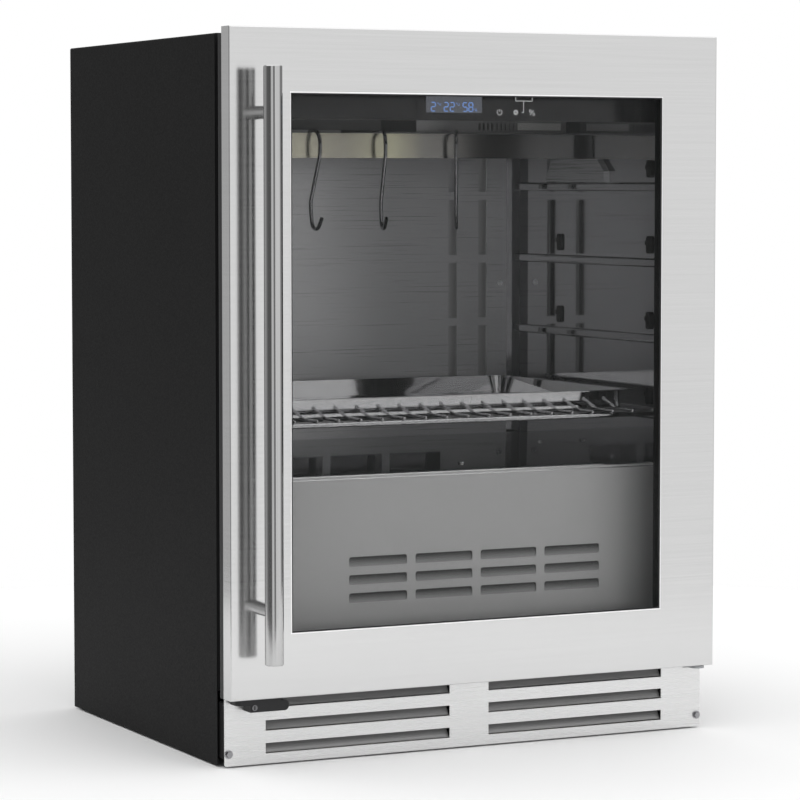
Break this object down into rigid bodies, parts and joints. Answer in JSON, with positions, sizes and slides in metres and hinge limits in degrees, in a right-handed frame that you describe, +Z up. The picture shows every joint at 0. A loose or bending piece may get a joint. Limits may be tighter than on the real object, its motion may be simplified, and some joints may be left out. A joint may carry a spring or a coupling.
{
  "type": "meat ageing refrigerator",
  "caption": "Under-counter dry-ageing refrigerator: glass door in a brushed steel frame with a bar handle, hanging rail with hooks, wire shelf, drip tray and louvred plinth.",
  "frame": {"origin": "on the floor, under the middle of the whole object, handle included", "axes": "+Z up, +Y to the rear, +X to the right as seen by someone facing the door"},
  "size_m": [0.595, 0.515, 0.785],
  "materials": {
    "painted_steel": "fine satin",
    "zinc_steel": "galvanised",
    "brushed_steel": "brushed along the long side",
    "liner_steel": "dull, faint grain",
    "polished_steel": "polished",
    "black_plastic": "fine moulded texture",
    "gloss_black": "gloss",
    "display": "lit display",
    "seal_rubber": "matt",
    "glass": "grey tint",
    "spacer": "black anodised",
    "lens": "frosted",
    "foam": "rigid foam",
    "aluminium": "bare",
    "compressor_black": "satin enamel",
    "copper": "drawn tube",
    "circuit": "solder mask",
    "foot_plastic": "moulded"
  },
  "bodies": {
    "case": {"outer_wrapper": "painted_steel", "rear_panel": "painted_steel", "service_cover": "painted_steel", "base_pan": "painted_steel", "foam_insulation": "foam", "front_trim_frame": "black_plastic", "inner_liner": "liner_steel", "shelf_clips": "black_plastic", "panel_screws": "polished_steel", "rear_duct_cover": "liner_steel", "louvred_panel": "liner_steel", "step_top_plate": "polished_steel", "rail_brackets": "liner_steel", "control_fascia": "gloss_black", "touch_panel": "gloss_black", "display_window": "display", "control_board": "circuit", "ceiling_pod": "black_plastic", "lamp_lens": "lens", "climate_sensor": "black_plastic", "circulation_fan_frame": "black_plastic", "evaporator_coil": "aluminium", "condenser_fan_frame": "black_plastic", "condenser_coil": "aluminium", "compressor": "compressor_black", "compressor_mounts": "seal_rubber", "condensate_pan": "black_plastic", "refrigerant_pipes": "copper", "filter_drier": "copper", "power_box": "black_plastic", "mains_inlet": "black_plastic", "plinth_grille": "brushed_steel", "plinth_screws": "polished_steel", "hinge_bracket_upper": "zinc_steel", "hinge_bracket_lower": "zinc_steel", "hinge_pins": "zinc_steel", "lock_housing": "black_plastic"},
    "door": {"door_outer_frame": "brushed_steel", "door_inner_frame": "black_plastic", "glass_outer": "glass", "glazing_spacer": "spacer", "glass_inner": "glass", "door_gasket": "seal_rubber", "handle_bar": "brushed_steel", "handle_posts": "brushed_steel", "hinge_bushes": "black_plastic"},
    "circulation_rotor": {"circulation_fan_rotor": "black_plastic"},
    "condenser_rotor": {"condenser_fan_rotor": "black_plastic"},
    "rail": {"hanging_rail": "polished_steel"},
    "left_hook": {"hook_left": "polished_steel"},
    "middle_hook": {"hook_middle": "polished_steel"},
    "right_hook": {"hook_right": "polished_steel"},
    "shelf": {"wire_shelf": "polished_steel"},
    "tray": {"drip_tray": "polished_steel"},
    "lock_barrel": {"lock_cylinder": "polished_steel"},
    "lock_pin": {"lock_bolt": "zinc_steel"},
    "foot_front_left": {"levelling_foot_front_left": "foot_plastic"},
    "foot_front_right": {"levelling_foot_front_right": "foot_plastic"},
    "foot_rear_left": {"levelling_foot_rear_left": "foot_plastic"},
    "foot_rear_right": {"levelling_foot_rear_right": "foot_plastic"}
  },
  "joints": [
    {"name": "door_swing", "type": "hinge", "parent": "case", "child": "door", "pos_m": [0.2845, -0.1995, 0.43], "axis": [0, 0, 1], "range_deg": [0, 105]},
    {"name": "rotor_circulation_spin", "type": "hinge", "parent": "case", "child": "circulation_rotor", "pos_m": [-0.007, -0.1335, 0.186], "axis": [0, 1, 0], "continuous": true},
    {"name": "rotor_condenser_spin", "type": "hinge", "parent": "case", "child": "condenser_rotor", "pos_m": [-0.16, 0.0875, 0.104], "axis": [0, 1, 0], "continuous": true},
    {"name": "rail_lift", "type": "slide", "parent": "case", "child": "rail", "axis": [0, 0, 1], "range_m": [0, 0.01]},
    {"name": "shelf_slide", "type": "slide", "parent": "case", "child": "shelf", "axis": [0, -1, 0], "range_m": [0, 0.012]},
    {"name": "tray_lift", "type": "slide", "parent": "shelf", "child": "tray", "axis": [0, 0, 1], "range_m": [0, 0.025]},
    {"name": "lock_turn", "type": "hinge", "parent": "case", "child": "lock_barrel", "pos_m": [-0.268, -0.2065, 0.0662], "axis": [0, -1, 0], "range_deg": [0, 90]},
    {"name": "lock_bolt_rise", "type": "slide", "parent": "case", "child": "lock_pin", "axis": [0, 0, 1], "range_m": [0, 0.007]},
    {"name": "hook_left_swing", "type": "hinge", "parent": "rail", "child": "left_hook", "pos_m": [-0.0895, 0.0325, 0.6786], "axis": [1, 0, 0], "range_deg": [-9, 11]},
    {"name": "hook_middle_swing", "type": "hinge", "parent": "rail", "child": "middle_hook", "pos_m": [-0.0015, 0.0325, 0.6786], "axis": [1, 0, 0], "range_deg": [-9, 11]},
    {"name": "hook_right_swing", "type": "hinge", "parent": "rail", "child": "right_hook", "pos_m": [0.095, 0.0325, 0.6786], "axis": [1, 0, 0], "range_deg": [-9, 11]},
    {"name": "turn_foot_front_left", "type": "hinge", "parent": "case", "child": "foot_front_left", "pos_m": [-0.2555, -0.1325, 0.02], "axis": [0, 0, 1], "continuous": true},
    {"name": "turn_foot_front_right", "type": "hinge", "parent": "case", "child": "foot_front_right", "pos_m": [0.2555, -0.1325, 0.02], "axis": [0, 0, 1], "continuous": true},
    {"name": "turn_foot_rear_left", "type": "hinge", "parent": "case", "child": "foot_rear_left", "pos_m": [-0.2555, 0.2125, 0.02], "axis": [0, 0, 1], "continuous": true},
    {"name": "turn_foot_rear_right", "type": "hinge", "parent": "case", "child": "foot_rear_right", "pos_m": [0.2555, 0.2125, 0.02], "axis": [0, 0, 1], "continuous": true}
  ],
  "couplings": [
    {"joint": "lock_turn", "follows": "lock_bolt_rise", "rad_per_m": 224.39}
  ]
}
